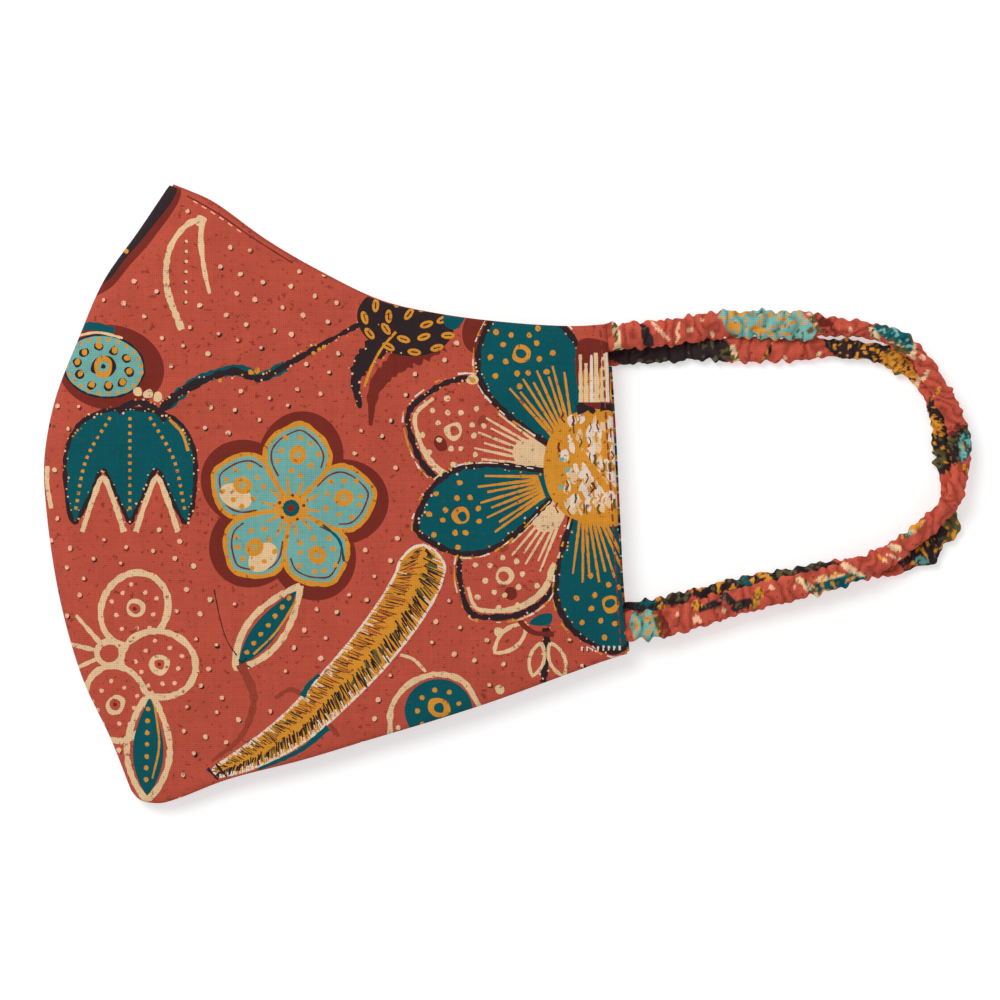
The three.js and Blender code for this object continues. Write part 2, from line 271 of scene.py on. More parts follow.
# Plain-weave cotton, block printed over wax and washed: dull, a little fuzzy, each dye uneven from thread to
# thread, with dark flecks where the cloth took more of it.
def printed_cotton(name):
    """The cloth's material, which takes its dyes from the mesh that it is put on, with the painted shade of
    the ear loops' puckers.
    """
    material = bpy.data.materials.new(name)
    material.use_nodes = True
    tree = material.node_tree
    tree.nodes.clear()
    place = add_node(tree, "ShaderNodeTexCoord").outputs["Object"]
    dye = add_node(tree, "ShaderNodeAttribute", {"attribute_name": "dye"}).outputs["Color"]
    waves, slubs = [], []
    for axis, squeeze in (("X", (1, 0.12, 1)), ("Y", (0.12, 1, 1))):
        waves.append(add_node(tree, "ShaderNodeTexWave", {"wave_type": "BANDS", "bands_direction": axis},
                              Vector=place, Scale=math.pi / 10 / THREAD_PITCH, Distortion=1.2, Detail=2.0,
                              Detail_Scale=3.0).outputs["Fac"])
        along = add_node(tree, "ShaderNodeVectorMath", {"operation": "MULTIPLY"}, i0=place, i1=squeeze)
        slubs.append(add_node(tree, "ShaderNodeTexNoise", Vector=along.outputs[0], Scale=0.6 / THREAD_PITCH,
                              Detail=3.0).outputs["Fac"])
    weave = add_node(tree, "ShaderNodeMath", {"operation": "ADD"}, i0=waves[0], i1=waves[1]).outputs[0]
    slub = add_node(tree, "ShaderNodeMath", {"operation": "ADD"}, i0=slubs[0], i1=slubs[1]).outputs[0]
    cloud = add_node(tree, "ShaderNodeTexNoise", Vector=place, Scale=130.0, Detail=4.0).outputs["Fac"]
    # The share of the full dye: threads, slubs and the slow change across the cloth, around 1.
    share = 0.50
    for part, amount in ((slub, 0.22), (weave, 0.13), (cloud, 0.30)):
        share = add_node(tree, "ShaderNodeMath", {"operation": "MULTIPLY_ADD"}, i0=part, i1=amount,
                         i2=share).outputs[0]
    dyed = add_node(tree, "ShaderNodeMix", {"data_type": "RGBA", "blend_type": "MULTIPLY"}, i0=1.0, i6=dye,
                    i7=share)
    # Dark red specks, and fewer and finer black ones, where the wax cracked over the warm dyes.
    colour = dyed.outputs[2]
    red = add_node(tree, "ShaderNodeSeparateColor", Color=dye).outputs["Red"]
    warm = add_node(tree, "ShaderNodeMapRange", Value=red, From_Min=0.1, From_Max=0.4, To_Min=0.1).outputs[0]
    for scale, low, high, speck in ((850, 0.62, 0.70, "madder"), (1500, 0.70, 0.76, "soot")):
        grain = add_node(tree, "ShaderNodeTexNoise", Vector=place, Scale=scale, Detail=2.0).outputs["Fac"]
        amount = add_node(tree, "ShaderNodeMapRange", Value=grain, From_Min=low, From_Max=high, To_Min=0.0,
                          To_Max=0.7).outputs[0]
        amount = add_node(tree, "ShaderNodeMath", {"operation": "MULTIPLY"}, i0=amount, i1=warm).outputs[0]
        colour = add_node(tree, "ShaderNodeMix", {"data_type": "RGBA"}, i0=amount, i6=colour,
                          i7=linear(DYES[speck])).outputs[2]
    height = add_node(tree, "ShaderNodeMath", {"operation": "MULTIPLY_ADD"}, i0=slub, i1=0.8, i2=weave)
    bump = add_node(tree, "ShaderNodeBump", Height=height.outputs[0], Strength=0.45, Distance=0.08 * MM)
    cotton = add_node(tree, "ShaderNodeBsdfPrincipled", Base_Color=colour, Roughness=0.95,
                      Normal=bump.outputs[0], Specular_IOR_Level=0.1, Sheen_Weight=0.04, Sheen_Roughness=0.5)
    add_node(tree, "ShaderNodeOutputMaterial", i0=cotton.outputs[0])
    return material


loop_cotton = printed_cotton("gathered_printed_cotton")
for name, route, width, widths, patches, seed in (
    ("left_ear_loop", UPPER_ROUTE, 6.4, UPPER_WIDTHS, UPPER_PRINT, 4.0),
    ("right_ear_loop", LOWER_ROUTE, 5.6, LOWER_WIDTHS, LOWER_PRINT, 11.0),
):
    loop, middles = gathered_casing(name + "_casing", route, widths, patches, seed)
    loop.data.materials.append(loop_cotton)
    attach(loop, "root")
    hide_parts(name)
    length = float(np.linalg.norm(np.diff(middles, axis=0), axis=1).sum())

# ---------------------------------------------------------------- left panel
# The upper half of the mask: two layers of printed cotton stitched as one, cut to the curve of the nose
# and the chin, sewn to the other half along the left edge, and turned under and stitched at the ears.
# It is laid out flat, cut into facets along the edges of its print, and then lifted.
WALL = 1.2
HEM_WIDTH = 3.4
# What the turned hem adds to the wall.
HEM_EXTRA = 0.5
# The four edges of a half in mm, x and y in turn.
SEAM_EDGE = [
    -48.4, -70.4, -53.3, -57.9, -59.9, -43.8, -65.3, -25, -68.5, -4, -69, 8, -66.5, 22, -61, 36.4,
    -54.9, 50.4, -46.8, 62, -39.4, 73,
]
SIDE_EDGE = [68.7, -37.6, 67.3, -22, 66.4, -4, 65.5, 14, 64.5, 30, 63.6, 39.8]
CHIN_EDGE = [
    -48.4, -70.4, -46.2, -72.3, -41.5, -73, -37, -71.8, -25.4, -67.3, -7.5, -62.6, 8, -57.9, 23.7, -53.2,
    38.1, -48.5, 52, -43.4, 62.5, -39.6, 68.7, -37.6,
]
NOSE_EDGE = [
    -39.4, 73, -35.6, 71.5, -30.1, 69, -17.2, 59.8, -4.5, 52.4, 10, 45.5, 24, 42.3, 42, 40.1, 56, 39.4,
    63.6, 39.8,
]
# Soft folds: from, to, height and half width in mm. A dent has a negative height.
FOLDS = [
    (60, 36, 8, 12, 0.6, 6), (64, -34, 6, -14, 0.55, 6.5), (58, 1, -10, 0, -0.5, 9),
    (-44, -64, -28, -22, 0.45, 5), (-38, 64, -30, 26, 0.4, 5),
]
# The size of a facet in mm, where the print has no edge.
FACET = 1.15
# Every patch of the print as its dye and its outline, the first ones under the later ones.
shapes = []
hand = random.Random(20)


def edge_line(flat, step=1.0):
    """A smooth line through the points x, y, x, y."""
    return smooth_line(np.reshape(flat, (-1, 2)), step)


def blot(dye, *flat):
    """A closed patch of dye with a smooth edge through the points x, y, x, y."""
    shapes.append((dye, smooth_line(np.reshape(flat, (-1, 2)), 0.9, closed=True)))


def stroke(dye, width, *flat, tip=None):
    """A line drawn by hand through the points, a little uneven, tapering to its tip."""
    line = edge_line(flat, 0.9)
    ahead = np.gradient(line, axis=0)
    ahead /= np.linalg.norm(ahead, axis=1)[:, None] + 1e-9
    side = np.column_stack([-ahead[:, 1], ahead[:, 0]])
    half = np.linspace(width, width if tip is None else tip, len(line)) / 2
    thinnest = 0.6 if dye == "soot" else 0.78
    half = half * np.array([hand.uniform(thinnest, 1.22) for _ in line])
    shapes.append((dye, np.vstack([line + side * half[:, None], (line - side * half[:, None])[::-1]])))
    # Flecks beside the thick black lines, where the wax broke.
    if dye == "soot" and width >= 0.9 and len(line) > 6:
        for k in range(len(line)):
            off = side[k] * (half[k] + hand.uniform(-0.35, 0.45)) * hand.choice((-1, 1))
            if hand.random() < 0.6:
                spots(hand.choice(("rose", "cream", "ochre")), hand.uniform(0.12, 0.32), *(line[k] + off))


def edged(dye, rim, width, *flat):
    """A patch of dye with a line drawn round it."""
    blot(dye, *flat)
    stroke(rim, width, *flat, *flat[:2])


def spots(dye, radius, *flat):
    """Small round dots, or larger ones with a smooth edge, each a little out of round."""
    for x, y in np.reshape(flat, (-1, 2)):
        turn = np.arange(7) * 2 * math.pi / 7 + hand.random()
        reach = radius * np.array([hand.uniform(0.8, 1.2) for _ in turn])
        dot = np.column_stack([x + reach * np.cos(turn), y + reach * np.sin(turn)])
        shapes.append((dye, smooth_line(dot, 0.5, closed=True) if radius > 1 else dot))


def ring(dye, inside, radius, *flat):
    """Round dots with a dot of another dye in the middle of each."""
    spots(dye, radius, *flat)
    spots(inside, radius * 0.52, *flat)


def rays(dye, width, *flat):
    """Straight strokes, each from x, y to x, y."""
    for ray in np.reshape(flat, (-1, 4)):
        stroke(dye, width, *ray, tip=width * 0.6)


def dashes(dye, width, length, gap, *flat):
    """A broken line through the points."""
    step = 0.25
    line = edge_line(flat, step)
    on, off = max(2, round(length / step)), max(1, round(gap / step))
    for start in range(0, len(line) - on, on + off):
        stroke(dye, width, *line[start], *line[start + on // 2], *line[start + on - 1])


# The print is a plain one: flowers, leaves and a branch built up from ovals, rings, rays and dots, in
# the order that its dyes went on.
def turned(points, root, heading):
    """Points along and across a motif, put at its root and turned to its heading in degrees."""
    c, s = math.cos(math.radians(heading)), math.sin(math.radians(heading))
    along, across = np.reshape(points, (-1, 2)).T
    return np.column_stack([root[0] + along * c - across * s, root[1] + along * s + across * c]).ravel()


def oval(length, width, offset=0.0):
    """An oval outline with its middle an offset along."""
    turn = np.arange(12) * math.pi / 6
    return np.column_stack([offset + length / 2 * np.cos(turn), width / 2 * np.sin(turn)])


def petal(length, width, belly=0.66):
    """The outline of a petal from its root, broadest at the given share of its length."""
    share = np.array([0, 0.1, 0.28, 0.48, 0.66, 0.82, 0.93, 1])
    half = width / 2 * np.abs(np.sin(math.pi * share ** (math.log(0.5) / math.log(belly)))) ** 0.75
    upper = np.column_stack([share * length, half])
    return np.vstack([upper, (upper * (1, -1))[-2:0:-1]])


def leaf(root, heading, length, width):
    """A teal leaf inside a cream line, with a broken ochre vein."""
    stroke("cream", 1.4, *turned(petal(length, width, 0.55), root, heading), *root)
    blot("teal", *turned(petal(length - 2.6, width - 3, 0.55) + (1.6, 0), root, heading))
    stroke("ochre", 0.5, *turned((3.5, 1.4, length / 2, width / 4, length - 5, 1.2), root, heading))
    for share in np.arange(0.16, 0.86, 0.11):
        spots("ochre", 0.6, *turned((share * length, -0.3), root, heading))


# Black down the nose seam, with the dark red that spread from it.
blot("madder", -36.4, 71.6, -42.8, 60.4, -48.4, 54, -54, 48, -64, 46, -60, 62, -42, 78)
blot("soot", -37.4, 72.4, -44.4, 61.6, -49.6, 55.6, -54.6, 50, -64, 50, -60, 62, -42, 78)
spots("ochre", 0.6, -49.6, 57.3)
stroke("madder", 0.35, -35, 70.2, -28, 66.2, -20, 60.6, -10, 54.2)
dashes("rose", 0.3, 1.6, 0.9, -33.5, 69, -28, 65.6, -20, 60)

# A cream arch with a row of dots in it.
stroke("cream", 1.5, -36, 38.5, -39.6, 49, -38.8, 58, -34.5, 63.6, -31.2, 64.6)
stroke("cream", 1.6, -31.2, 64.6, -31.6, 60, -30.6, 52, -29.4, 47, tip=0.8)
spots("cream", 1.3, -31.6, 64.2)
for y in np.arange(45, 61, 2.4):
    spots("soot", 0.42, -35.2, y - 0.2)
    spots("cream", 0.4, -35, y)

# A speckled seed pod.
POD = (-54.6, 30)
blot("madder", *turned(oval(26, 20, 1.6), POD, -10))
stroke("teal", 1.8, -62, 39, -58, 39.6, -52, 38.4)
edged("turquoise", "soot", 0.5, *turned(oval(20, 14.6), POD, -10))
stroke("cream", 0.6, -61, 37.4, -56, 38, -50, 36.6)
for turn in range(0, 360, 15):
    reach = (9.2 * math.cos(math.radians(turn)), 6.4 * math.sin(math.radians(turn)))
    spots("ochre", 0.5, *turned(reach, POD, -10))
for k, turn in enumerate(range(0, 360, 36)):
    reach = (6.4 * math.cos(math.radians(turn)), (4.4 + 0.5 * (k % 2)) * math.sin(math.radians(turn)))
    x, y = turned(reach, POD, -10)
    spots("soot", 1.15, x - 0.1, y - 0.2)
    spots("ochre", 0.82, x, y)
spots("soot", 2.7, *POD)
ring("ochre", "turquoise", 2.35, *POD)
spots("soot", 0.6, *POD)

# A three-pointed flower hanging from a branch.
BELL = (-48.2, 20)
edged("teal", "soot", 1.1, *turned((0, 0, 0.8, 7, 4, 12.4, 10, 15.2, 18, 15.4, 24, 14.6, 27, 13.2, 25, 11.8,
                                   20, 9.2, 14.4, 6.4, 20, 3.4, 25, 1, 27, 0, 25, -1, 20, -3.4, 14.4, -6.4,
                                   20, -9.2, 25, -11.8, 27, -13.2, 24, -14.6, 18, -15.4, 10, -15.2, 4, -12.4,
                                   0.8, -7), BELL, -90))
for across in (-6.4, 6.4):
    notch = (29, across - 5, 21, across - 2.3, 16.2, across, 21, across + 2.3, 29, across + 5)
    stroke("cream", 1.3, *turned(notch, BELL, -90))
for spread in (-13, 0, 13):
    dashes("ochre", 0.75, 1.1, 0.8, *turned((2, spread * 0.36, 12, spread * 0.8, 24, spread), BELL, -90))
stroke("ochre", 0.7, *turned((2.6, 9.4, 5.6, 12.2, 10, 13.8), BELL, -90))
stroke("soot", 1.9, *turned((0.6, -3, -1.4, 1.4, -0.4, 5.4, 3, 8.4), BELL, -90), tip=1.2)
spots("cream", 1.1, -44, 23.4, -46.4, 24, -41.6, 22.8)
stroke("cream", 1.2, -68.2, 6.5, -68.2, 2, -67.2, -3.5)

# The branch, black with teal beside it.
stroke("teal", 2.6, -39.5, 20.5, -33, 26, -23, 29, -17.5, 27.4, -11.5, 29.9)
stroke("soot", 2.2, -42, 18.6, -35.5, 24.2, -23.5, 28.7, -18, 27, -9, 31.5, 0, 36.6, 9, 41.4, tip=1.1)
spots("ochre", 0.75, -19.7, 28.5, -18.2, 28.9)
spots("ochre", 0.5, -5, 33, -3.6, 33.8, -2.6, 34.4, -27, 26.6)

# A dark seed head at the nose edge, on a curved stalk.
stroke("madder", 8, 24, 37, 15, 31, 9.6, 25, 8.4, 16, tip=0.8)
blot("madder", *turned(oval(12, 9), (34.6, 38.6), 70))
blot("soot", *turned(oval(23, 16), (16.6, 40.4), -12))
stroke("soot", 7, 14, 37, 8.4, 33, 5, 27, 6, 20, tip=1.0)
for reach, turns in ((4.2, range(30, 331, 60)), (8, range(0, 331, 36))):
    for turn in turns:
        away = (1.25 * reach * math.cos(math.radians(turn)), 0.72 * reach * math.sin(math.radians(turn)))
        x, y = turned(away, (16.8, 39.2), -12)
        blot("ochre", *turned(oval(3.3, 1.7), (x, y), 0.6 * turn))
        stroke("soot", 0.35, *turned((-0.8, 0, 0.8, 0), (x, y), 0.6 * turn))
stroke("ochre", 0.6, 14.4, 38, 11, 34, 8.6, 29.6, 7, 25)
spots("teal", 2.6, 28, 41.6)

# A round flower with five petals.
ROUND_FLOWER = (-10.2, -3.4)
ROUND_PETALS = (155, 227, 299, 11, 83)
for heading in ROUND_PETALS:
    blot("madder", *turned(oval(22, 20, 12), ROUND_FLOWER, heading - 4))
for heading in ROUND_PETALS:
    edged("turquoise", "ochre", 1.1, *turned(petal(20, 15.4, 0.62), ROUND_FLOWER, heading))
    stroke("madder", 0.4, *turned(petal(15.8, 12.4, 0.6)[2:-2] + (2.6, 0), ROUND_FLOWER, heading))
    if heading in (155, 227):
        blot("cream", *turned(oval(8, 5.6, 13) + (0, 3), ROUND_FLOWER, heading))
    eye = turned((12.6, 0), ROUND_FLOWER, heading)
    blot("ochre", *turned(oval(4.6, 4), eye, heading))
    spots("turquoise", 0.75, *eye)
    spots("ochre", 0.4, *eye)
    for k in range(9):
        spots("ochre", 0.66, *turned(((4 + 0.9 * (k % 2)), 0), eye, heading + 40 * k + hand.uniform(-8, 8)))
    rays("ochre", 0.8, *turned((2, 0.6, 7, 1.8, 2, -0.6, 6.4, -2), ROUND_FLOWER, heading),
         *turned((2, 0, 8, 0), ROUND_FLOWER, heading + 36))
stroke("teal", 0.6, *turned((7, 4.6, 12, 6.2, 17, 4.8), ROUND_FLOWER, 299))
blot("ochre", *turned(oval(7.6, 6.6), ROUND_FLOWER, 0))
blot("teal", *turned(oval(4, 4), ROUND_FLOWER, 0))
spots("madder", 0.9, *ROUND_FLOWER)
for heading in ROUND_PETALS:
    spots("madder", 0.4, *turned((3, 0), ROUND_FLOWER, heading))
leaf((-8, -21.6), 232, 24.5, 8.6)
rays("soot", 0.5, -22.6, -39, -19.6, -41, -22.8, -41, -20.6, -38.6)

# Cracks in the wax, and dark red beside some of them.
stroke("soot", 0.3, -28.3, -22.5, -27, -29, -25.3, -34.5, -23, -38)
stroke("soot", 0.3, -21, -42, -20, -46, -19, -50)
stroke("soot", 0.3, -45.3, -22, -44, -29, -44.6, -36.6)
stroke("soot", 0.3, -43.6, -43, -45.6, -48, -48.4, -52.4)
stroke("russet", 2.2, -22, -40, -19, -48, -22, -57, -29, -63, tip=0.8)
stroke("russet", 1.0, 1, -57, -4, -51, -10, -46, -14, -48)

# A long feather leaf: ochre, hatched in black and white from its spine to a ragged edge.
spine = edge_line((21, -12, 20, -19, 16.7, -25.5, 11.8, -32.5, 6.3, -39.3, 0, -46, -6.5, -52.5, -13.5, -58,
                   -21, -62.4, -29, -66), 0.45)
along_spine = np.linspace(0, 1, len(spine))
half_feather = 5.4 * np.sqrt(1 - along_spine ** 2.2) * np.minimum(1, np.sqrt(along_spine / 0.06))
ahead = np.gradient(spine, axis=0)
ahead /= np.linalg.norm(ahead, axis=1)[:, None]
right = np.column_stack([-ahead[:, 1], ahead[:, 0]])
feather = np.vstack([spine + right * half_feather[:, None], (spine - right * half_feather[:, None])[::-1]])
blot("ochre", *feather[::5].ravel())
stroke("pale", 0.6, *feather[::5].ravel(), *feather[0])
for i in range(2, len(spine) - 3):
    half, share = half_feather[i], along_spine[i]
    for edge in (-1, 1):
        black = edge > 0 or share > 0.65
        dye = hand.choice(("soot", "soot", "soot", "olive") if black else ("madder", "russet", "soot"))
        lean = hand.uniform(0.8, 1.6)
        root = spine[i] + right[i] * edge * half * hand.uniform(0.02, 0.4)
        tip = spine[i] + right[i] * edge * half * hand.uniform(0.7, 1.05) + ahead[i] * lean
        rays(dye, hand.uniform(0.36, 0.56) if edge > 0 else hand.uniform(0.2, 0.32), *root, *tip)
        if hand.random() < 0.2 + 0.5 * share:
            root = spine[i] + right[i] * edge * half * hand.uniform(0.5, 0.85)
            tip = spine[i] + right[i] * edge * (half + 0.35) + ahead[i] * 0.5 * lean
            rays(hand.choice(("pale", "ochre", "cream")), 0.34, *root, *tip)
stroke("teal", 1.5, -7.6, -47.6, -6, -44.8, -3.6, -42.4, tip=0.7)
stroke("teal", 1.5, -1.5, -54.9, -8, -60.2, -18, -64.8, tip=0.8)
rays("soot", 0.7, -30, -64.6, -27.4, -67.4, -28, -63.6, -25.4, -66.6)

# A teal bud under a cream arch at the chin edge, and a sprig beside it.
blot("teal", *turned(oval(15, 16), (24.4, -51), 90))
stroke("cream", 1.35, 13, -57, 13.4, -50, 17.6, -44.6, 24, -42.4, 30, -44, 34, -50)
ring("ochre", "teal", 2.4, 24.4, -50.4)
for turn in range(20, 340, 40):
    spots("ochre", 0.6, *turned((5, 0), (24.4, -51), turn))
stroke("cream", 0.7, 21.4, -41.8, 18.4, -38.8, 15.4, -37.8)
stroke("cream", 1.0, *turned(petal(10, 4.6, 0.5), (45, -30.6), 222), 45, -30.6)
spots("cream", 1.2, 38.4, -32.4, 38.8, -46)
stroke("soot", 1.7, 49.6, -31.5, 49.8, -36, 49, -44.4)
stroke("cream", 0.8, *turned(petal(8.5, 3.6, 0.5), (50.6, -35), 292), 50.6, -35)
stroke("cream", 0.8, *turned(petal(8, 3.4, 0.5), (48.4, -35), 256), 48.4, -35)
stroke("madder", 1.2, 37, -24.5, 42, -28.5, 46.5, -32.5, 51.5, -33)

# Half of a large flower, cut off by the side hem: teal petals, and coral ones between them.
FLOWER = (58, 5)
for dye, marks, heading, length, width in (
    ("coral", "cream", 161, 43, 26), ("coral", "cream", 232, 42, 23), ("teal", "ochre", 116, 43, 24),
    ("teal", "ochre", 199, 41, 20.5), ("teal", "ochre", 281, 43, 23),
):
    outline = petal(length, width)
    edged(dye, "soot", 1.5, *turned(outline, FLOWER, heading))
    tip_line = turned(outline[3:9] * (0.9, 0.86) + (0.06 * length, 0), FLOWER, heading)
    if dye == "coral":
        stroke("cream", 1.8, *tip_line, tip=0.8)
        blot("cream", *turned(oval(9, 7, 12.6), FLOWER, heading))
        spots("madder", 1.7, *turned((0.78 * length, 4.4), FLOWER, heading))
        spots("russet", 1.3, *turned((0.6 * length, -3.8), FLOWER, heading))
    rim = edge_line(turned(outline[1:] * (1.03, 1.08), FLOWER, heading), 1.4)
    for start, end in zip(rim[:-2], rim[2:]):
        if hand.random() < 0.5:
            rays(hand.choice(("pale", "cream", "ochre")), hand.uniform(0.25, 0.6), *start,
                 *(end + (start - end) * hand.uniform(0, 0.6)))
    eye = turned((0.73 * length, 0.6), FLOWER, heading)
    ring(marks, dye, 2.2, *eye)
    for k in range(16):
        turn, reach = 0.393 * k + hand.uniform(-0.15, 0.15), (4.8, 8.2)[k % 2] * hand.uniform(0.9, 1.1)
        away = (0.73 * length + 0.95 * reach * math.cos(turn), 0.6 + 0.9 * reach * math.sin(turn))
        if abs(away[1]) < 0.38 * width and away[0] > 0.56 * length:
            spots(marks, 0.7, *turned(away, FLOWER, heading))
    for k in range(8):
        lean = (k - 3.5) * 1.08
        rays(marks, 0.8, *turned((10, 0.62 * lean), FLOWER, heading),
             *turned((length * (0.56 + 0.05 * (k % 2)) - 0.3 * abs(lean), 1.75 * lean), FLOWER, heading))
blot("teal", 45.6, -30.4, 48, -28.4, 51, -28.2, 50.6, -30.6, 48, -31)
spots("cream", 1.4, 32.4, 26.8)
spots("ochre", 0.7, 32.4, 26.6)
dashes("pale", 1.1, 0.7, 0.5, 57.8, -36.4, 67.4, -36.2)
dashes("soot", 1.0, 0.5, 0.7, 58.2, -36.7, 67, -36.7)

# The middle of the large flower, a mottle of ochre on undyed cloth.
blot("ochre", *turned(oval(20, 26), (59, 6.4), 0))
blot("ochre", 58, 19, 70, 20, 70, -6, 58, -6)
for i in range(84):
    x, y = hand.uniform(54, 67), hand.uniform(-3.5, 17.5)
    turn = [hand.uniform(0.5, 1.5) for _ in range(5)]
    around = 1.26 * np.arange(5)
    wide, tall = 0.8 * np.array(turn), 1.5 * np.array(turn)
    patch = np.column_stack([x + wide * np.cos(around), y + tall * np.sin(around)])
    blot("pale" if i % 3 else "cream", *patch.ravel())
for i in range(60):
    x, y = hand.uniform(52, 67), hand.uniform(-5, 18)
    bend = hand.uniform(-1, 1)
    stroke(("ochre", "ochre", "olive", "madder")[i % 4], hand.uniform(0.25, 0.6), x, y - 1.2, x + bend, y,
           x + 0.3 * bend, y + 1.1)
stroke("ochre", 1.7, 57.6, 9.6, 60.8, 5.4, 64.2, 0.6)
spots("turquoise", 0.6, 53.3, 8, 53, 1.5, 54.6, 5.6)

# Streaks between the petals and the hem, above that.
blot("madder", 57.6, 36, 58.6, 21, 66, 20.6, 66, 34)
for i, x in enumerate(np.arange(57.8, 65.6, 1.25)):
    rays(("cream", "cream", "pale")[i % 3], hand.uniform(0.9, 1.5), x, 21.4, x + hand.uniform(-0.3, 0.3),
         hand.uniform(30, 34.5))
    rays("ochre", 0.45, x + 0.7, 22, x + 0.7, hand.uniform(28, 33))
stroke("soot", 2.0, 56.8, 19.6, 59.6, 20, 61, 19, tip=1.2)
stroke("soot", 2.2, 62.4, 20.4, 66, 20, tip=1.6)

# A flower drawn in cream lines only, cut off by the seam, with a leaf at the chin.
LINE_FLOWER = (-53.2, -37.6)
for heading in (60, -12, -84):
    edged("coral", "cream", 1.5, *turned(oval(18, 15.4, 12), LINE_FLOWER, heading))
    eye = turned((12.2, 0), LINE_FLOWER, heading)
    ring("cream", "coral", 2.4, *eye)
    spots("madder", 0.5, *eye)
    for k in range(10):
        spots("rose", 0.55, *turned((4.6 + 1.1 * (k % 2), 0), eye, heading + 36 * k + hand.uniform(-8, 8)))
edged("coral", "cream", 1.3, *turned(oval(6, 5.6), LINE_FLOWER, 0))
for heading in (132, 168, 204):
    rays("cream", 1.2, *turned((3.4, 0, 12, 0), LINE_FLOWER, heading))
leaf((-43.6, -46.6), 268, 25.5, 10.4)
stroke("turquoise", 0.7, -57.4, -50, -55, -56, -52.4, -62)


def inside(points, outline):
    """Which of the points an outline goes round."""
    low, high = outline.min(0), outline.max(0)
    near = np.flatnonzero(((points >= low) & (points <= high)).all(1))
    x, y = points[near].T[:, None]
    a, b = outline, np.roll(outline, -1, axis=0)
    (ax, ay), (bx, by) = a.T[:, :, None], b.T[:, :, None]
    left = (bx - ax) * (y - ay) - (x - ax) * (by - ay)
    winding = ((ay <= y) & (by > y) & (left > 0)).sum(0) - ((ay > y) & (by <= y) & (left < 0)).sum(0)
    return near[winding != 0]


# The ground: small undyed dots in slanting rows, each with a dark edge, kept clear of the motifs.
lattice = []
for row in range(-20, 21):
    for column in range(-20, 21):
        lattice.append((5.5 * column + 2.1 * row + hand.uniform(-0.9, 0.9), 4.9 * row - 1.8 * column
                        + hand.uniform(-0.9, 0.9)))
lattice = np.array(lattice)
clear = np.ones(len(lattice), bool)
for dye, outline in shapes:
    middle = (outline.min(0) + outline.max(0)) / 2
    grown = middle + (outline - middle) * (1 + 2.6 / (np.ptp(outline, axis=0).min() + 2.6))
    clear[inside(lattice, outline if len(outline) > 60 else grown)] = False
    clear[np.linalg.norm(lattice[:, None] - outline[::2], axis=2).min(1) < 1.3] = False
for x, y in lattice[clear]:
    spots("soot" if hand.random() < 0.3 else "madder", 0.62, x + 0.3, y - 0.3)
    spots("rose" if hand.random() < 0.7 else "cream", hand.uniform(0.42, 0.68), x, y)


def distance(points, line):
    """How far each point is from a line."""
    a, b = line[:-1], line[1:]
    along = b - a
    share = ((points[:, None] - a) * along).sum(2) / (along ** 2).sum(1)
    nearest = a + along * np.clip(share, 0, 1)[..., None]
    return np.linalg.norm(points[:, None] - nearest, axis=2).min(1)


seam, side, chin, nose = (edge_line(edge) for edge in (SEAM_EDGE, SIDE_EDGE, CHIN_EDGE, NOSE_EDGE))
panel_outline = np.vstack([chin[:-1], side[:-1], nose[::-1][:-1], seam[::-1][:-1]])


def cut_cloth(print_shapes):
    """The flat panel as facets along the edges of its print, with the dye of each facet."""
    columns, rows = np.meshgrid(np.arange(-70, 71, FACET), np.arange(-75, 76, FACET * 0.87))
    columns[1::2] += FACET / 2
    grid = np.column_stack([columns.ravel(), rows.ravel()])
    grid = grid[inside(grid, panel_outline)]
    grid = grid[distance(grid, np.vstack([panel_outline, panel_outline[:1]])) > 0.5]
    points, edges = [grid], []
    start = len(grid)
    for _, outline in [("", panel_outline), *print_shapes]:
        points.append(outline)
        edges += [(start + k, start + (k + 1) % len(outline)) for k in range(len(outline))]
        start += len(outline)
    points = np.vstack(points)
    cut = delaunay_2d_cdt([Vector(p) for p in points.tolist()], edges, [], 0, 1e-3, False)
    flat, facets = np.array(cut[0])[:, :2], np.array(cut[2])
    keep = inside(flat[facets].mean(1), panel_outline)
    facets = facets[keep]
    middles = flat[facets].mean(1)
    dyes = np.full(len(facets), "coral", "U10")
    for dye, outline in print_shapes:
        dyes[inside(middles, outline)] = dye
    used, facets = np.unique(facets, return_inverse=True)
    return flat[used], facets.reshape(-1, 3), dyes


def hem_share(from_side):
    """1 on the turned hem and 0 inside it, by the distance from the side edge."""
    return 1 / (1 + np.exp((from_side - HEM_WIDTH) * 4))


